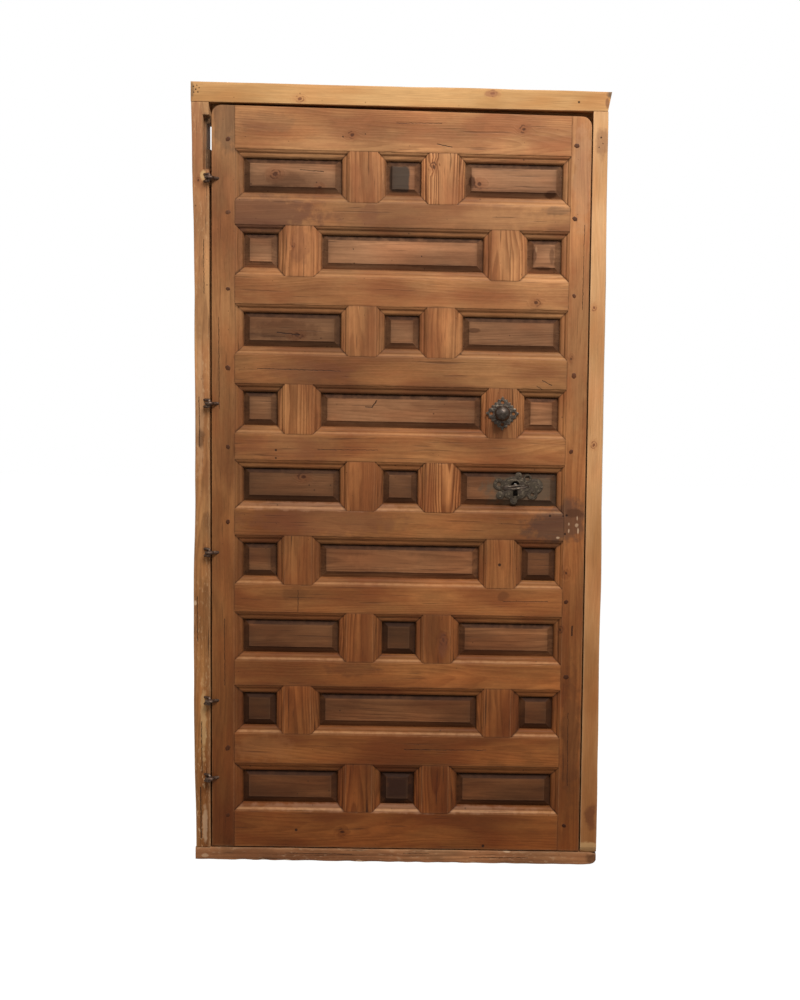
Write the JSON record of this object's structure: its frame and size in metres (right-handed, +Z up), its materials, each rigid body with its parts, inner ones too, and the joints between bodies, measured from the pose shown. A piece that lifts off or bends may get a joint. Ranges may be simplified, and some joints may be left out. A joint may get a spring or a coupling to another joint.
{
  "type": "panelled door",
  "caption": "Framed pine door with raised and fielded panels in mitred mouldings, hung on forged eye hinges, with a fixed pull knob, a keyed lock and its key.",
  "frame": {"origin": "middle of the panelling's width, on the underside of the sill, at half the frame's depth", "axes": "+Z up, +X towards the lock side as seen from the front, +Y from the front to the back of the door"},
  "size_m": [1.1025, 0.1353, 2.064],
  "materials": {
    "leaf_pine": "old oiled pine, worn satin",
    "panel_pine": "old oiled pine, darkened, worn satin",
    "frame_pine": "stripped pine, matt",
    "weathered_pine": "weathered pine, matt",
    "forged_iron": "forged, dark, worn"
  },
  "bodies": {
    "frame": {"frame_head": "frame_pine", "hinge_jamb": "weathered_pine", "lock_jamb": "frame_pine", "sill": "weathered_pine", "jamb_eye_1": "forged_iron", "jamb_eye_2": "forged_iron", "jamb_eye_3": "forged_iron", "jamb_eye_4": "forged_iron", "jamb_eye_5": "forged_iron"},
    "leaf": {"hinge_stile": "leaf_pine", "lock_stile": "leaf_pine", "top_rail": "leaf_pine", "rail_2": "leaf_pine", "rail_3": "leaf_pine", "rail_4": "leaf_pine", "rail_5": "leaf_pine", "rail_6": "leaf_pine", "rail_7": "leaf_pine", "rail_8": "leaf_pine", "rail_9": "leaf_pine", "bottom_rail": "leaf_pine", "mullion_1_left": "leaf_pine", "mullion_1_right": "leaf_pine", "mullion_2_left": "leaf_pine", "mullion_2_right": "leaf_pine", "mullion_3_left": "leaf_pine", "mullion_3_right": "leaf_pine", "mullion_4_left": "leaf_pine", "mullion_4_right": "leaf_pine", "mullion_5_left": "leaf_pine", "mullion_5_right": "leaf_pine", "mullion_6_left": "leaf_pine", "mullion_6_right": "leaf_pine", "mullion_7_left": "leaf_pine", "mullion_7_right": "leaf_pine", "mullion_8_left": "leaf_pine", "mullion_8_right": "leaf_pine", "mullion_9_left": "leaf_pine", "mullion_9_right": "leaf_pine", "panel_row_1": "panel_pine", "panel_row_2": "panel_pine", "panel_row_3": "panel_pine", "panel_row_4": "panel_pine", "panel_row_5": "panel_pine", "panel_row_6": "panel_pine", "panel_row_7": "panel_pine", "panel_row_8": "panel_pine", "panel_row_9": "panel_pine", "knob_rosette": "forged_iron", "knob": "forged_iron", "knob_nut": "forged_iron", "escutcheon": "forged_iron", "lock_case": "forged_iron", "leaf_eye_1": "forged_iron", "leaf_eye_2": "forged_iron", "leaf_eye_3": "forged_iron", "leaf_eye_4": "forged_iron", "leaf_eye_5": "forged_iron"},
    "bolt": {"lock_bolt": "forged_iron"},
    "key": {"lock_key": "forged_iron"}
  },
  "joints": [
    {"name": "leaf_swing", "type": "hinge", "parent": "frame", "child": "leaf", "pos_m": [-0.50275, -0.0548, 1.03], "axis": [0, 0, -1], "range_deg": [0, 110]},
    {"name": "key_turn", "type": "hinge", "parent": "leaf", "child": "key", "pos_m": [0.308, 0, 1.0315], "axis": [0, 1, 0], "range_deg": [0, 180]},
    {"name": "bolt_slide", "type": "slide", "parent": "leaf", "child": "bolt", "axis": [1, 0, 0], "range_m": [0, 0.018]}
  ],
  "couplings": [
    {"joint": "key_turn", "follows": "bolt_slide", "rad_per_m": 174.53}
  ]
}
